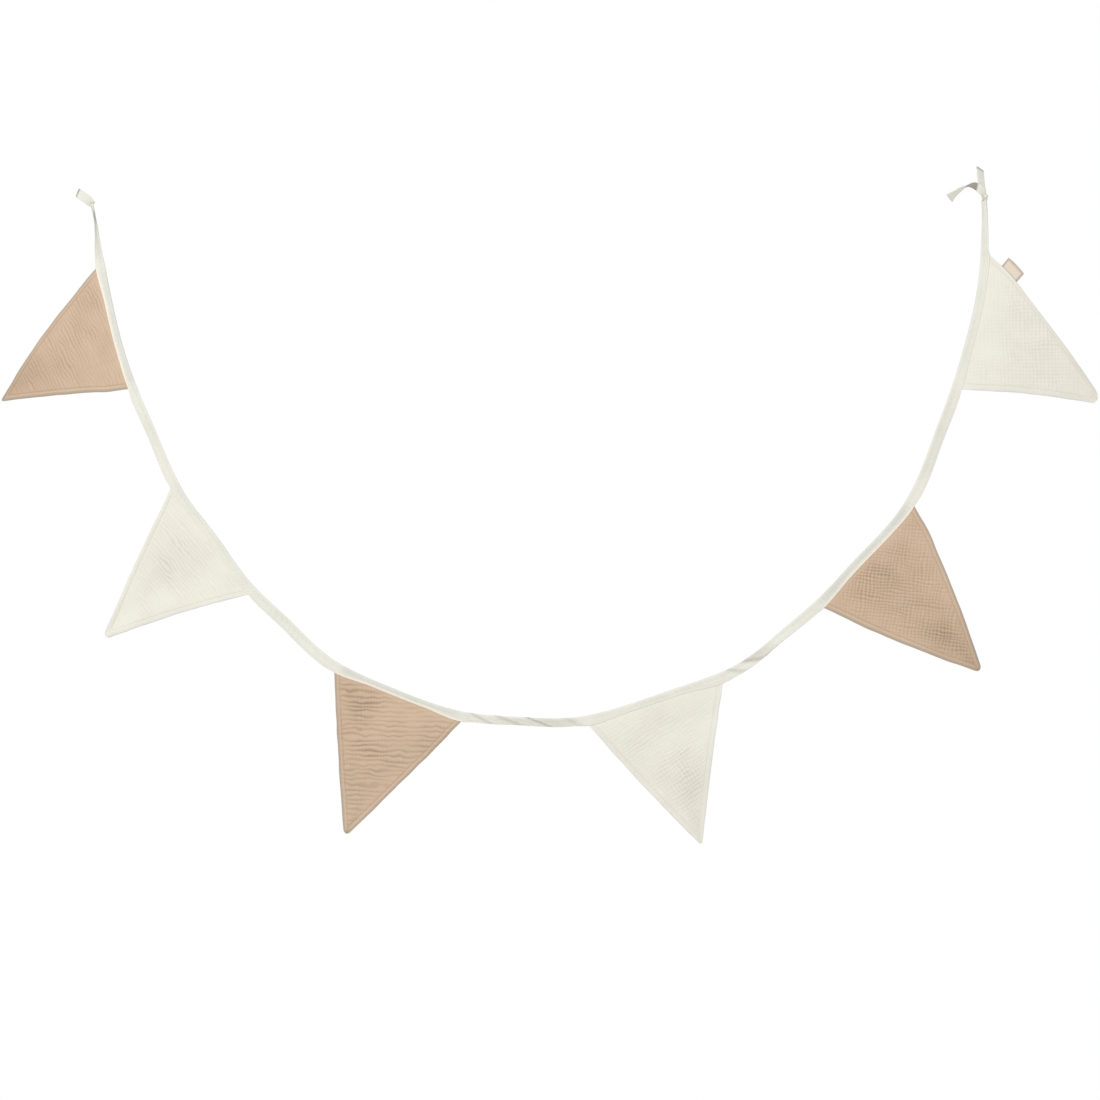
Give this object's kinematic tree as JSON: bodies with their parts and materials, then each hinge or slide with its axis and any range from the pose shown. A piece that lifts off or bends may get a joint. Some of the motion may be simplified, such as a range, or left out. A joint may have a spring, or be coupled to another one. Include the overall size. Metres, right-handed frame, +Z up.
{
  "type": "fabric bunting",
  "caption": "Garland of padded triangular cloth pennants in beige and ivory double gauze, sewn into one folded binding tape with a knotted tie at each end.",
  "frame": {"origin": "middle of the knot in the tape's left end", "axes": "+X runs along the garland from its left knot to its right knot, +Y runs from its front to its back, +Z is up"},
  "size_m": [1.3126, 0.0303, 0.7995],
  "materials": {
    "beige_muslin": "matt crinkled beige cotton double gauze with a fine open weave",
    "ivory_muslin": "matt crinkled ivory cotton double gauze with a fine open weave",
    "ivory_tape": "smooth plain-weave cotton bias binding, folded and topstitched",
    "label": "tightly woven satin ribbon with a soft sheen, left blank"
  },
  "bodies": {
    "root": {"tape": "ivory_tape", "pennant_1": "beige_muslin", "pennant_2": "ivory_muslin", "pennant_3": "beige_muslin", "pennant_4": "ivory_muslin", "pennant_5": "beige_muslin", "pennant_6": "ivory_muslin", "label": "label", "left_tie": "ivory_tape", "right_tie": "ivory_tape"}
  },
  "joints": []
}
